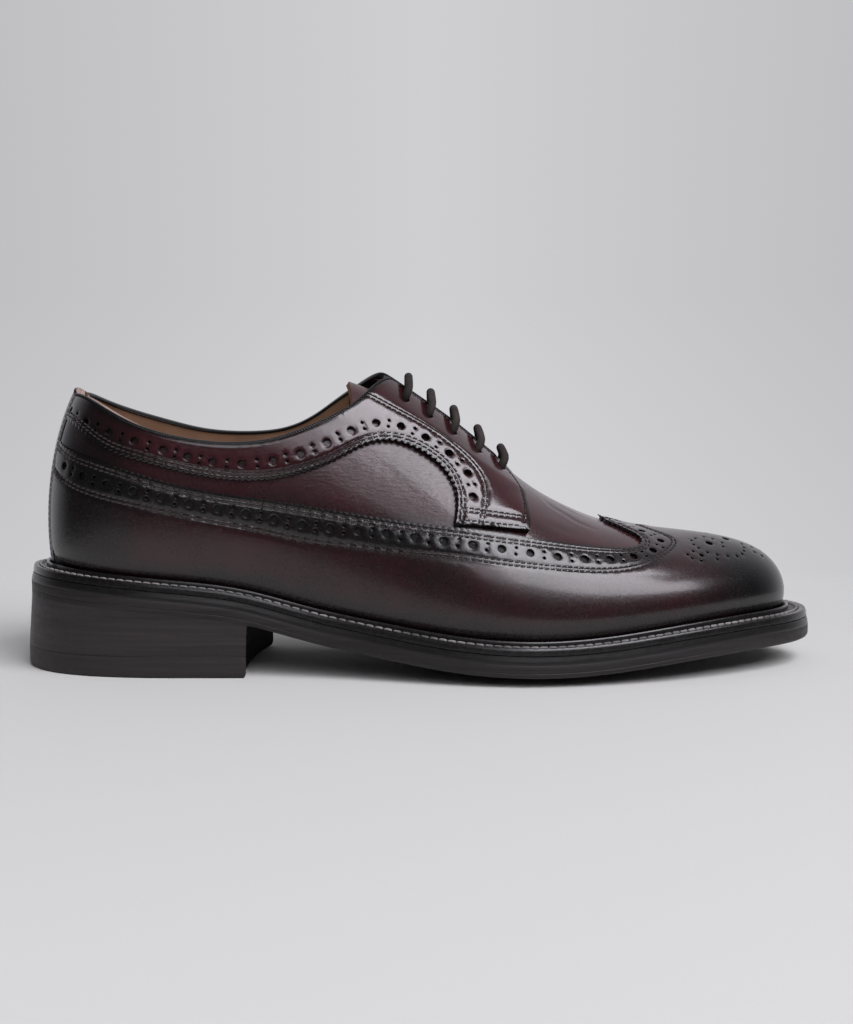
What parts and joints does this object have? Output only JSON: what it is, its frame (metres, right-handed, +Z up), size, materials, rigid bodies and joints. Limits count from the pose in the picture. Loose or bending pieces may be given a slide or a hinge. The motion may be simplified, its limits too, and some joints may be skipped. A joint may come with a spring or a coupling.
{
  "type": "longwing brogue derby shoe",
  "caption": "Burgundy longwing wingtip derby with punched brogueing, black burnish, laced facings, storm welt, leather sole and stacked heel.",
  "frame": {"origin": "centre of the bounding box in plan, on the floor plane under the heel and the ball", "axes": "+X from heel to toe, +Y towards the inner side of the foot, +Z up from the floor"},
  "size_m": [0.3052, 0.106, 0.1126],
  "materials": {
    "upper_leather": "glossy burnished burgundy",
    "tongue_leather": "satin burgundy",
    "wing_leather": "glossy, burnished near black",
    "facing_leather": "glossy burgundy",
    "backstay_leather": "glossy near black",
    "binding_leather": "satin black",
    "sole_leather": "waxed black edge",
    "welt_leather": "waxed black",
    "heel_leather": "waxed black edge",
    "lift_rubber": "matte black",
    "insole_leather": "matte tan",
    "lace_cord": "waxed grey brown cord"
  },
  "bodies": {
    "root": {"upper": "upper_leather", "tongue": "tongue_leather", "longwing": "wing_leather", "facing_lateral": "facing_leather", "facing_medial": "facing_leather", "backstay": "backstay_leather", "collar_binding": "binding_leather", "outsole": "sole_leather", "welt": "welt_leather", "heel_stack": "heel_leather", "top_lift": "lift_rubber", "insole": "insole_leather", "lace_bar_1": "lace_cord", "lace_bar_2": "lace_cord", "lace_bar_3": "lace_cord", "lace_bar_4": "lace_cord", "lace_bar_5": "lace_cord"}
  },
  "joints": []
}
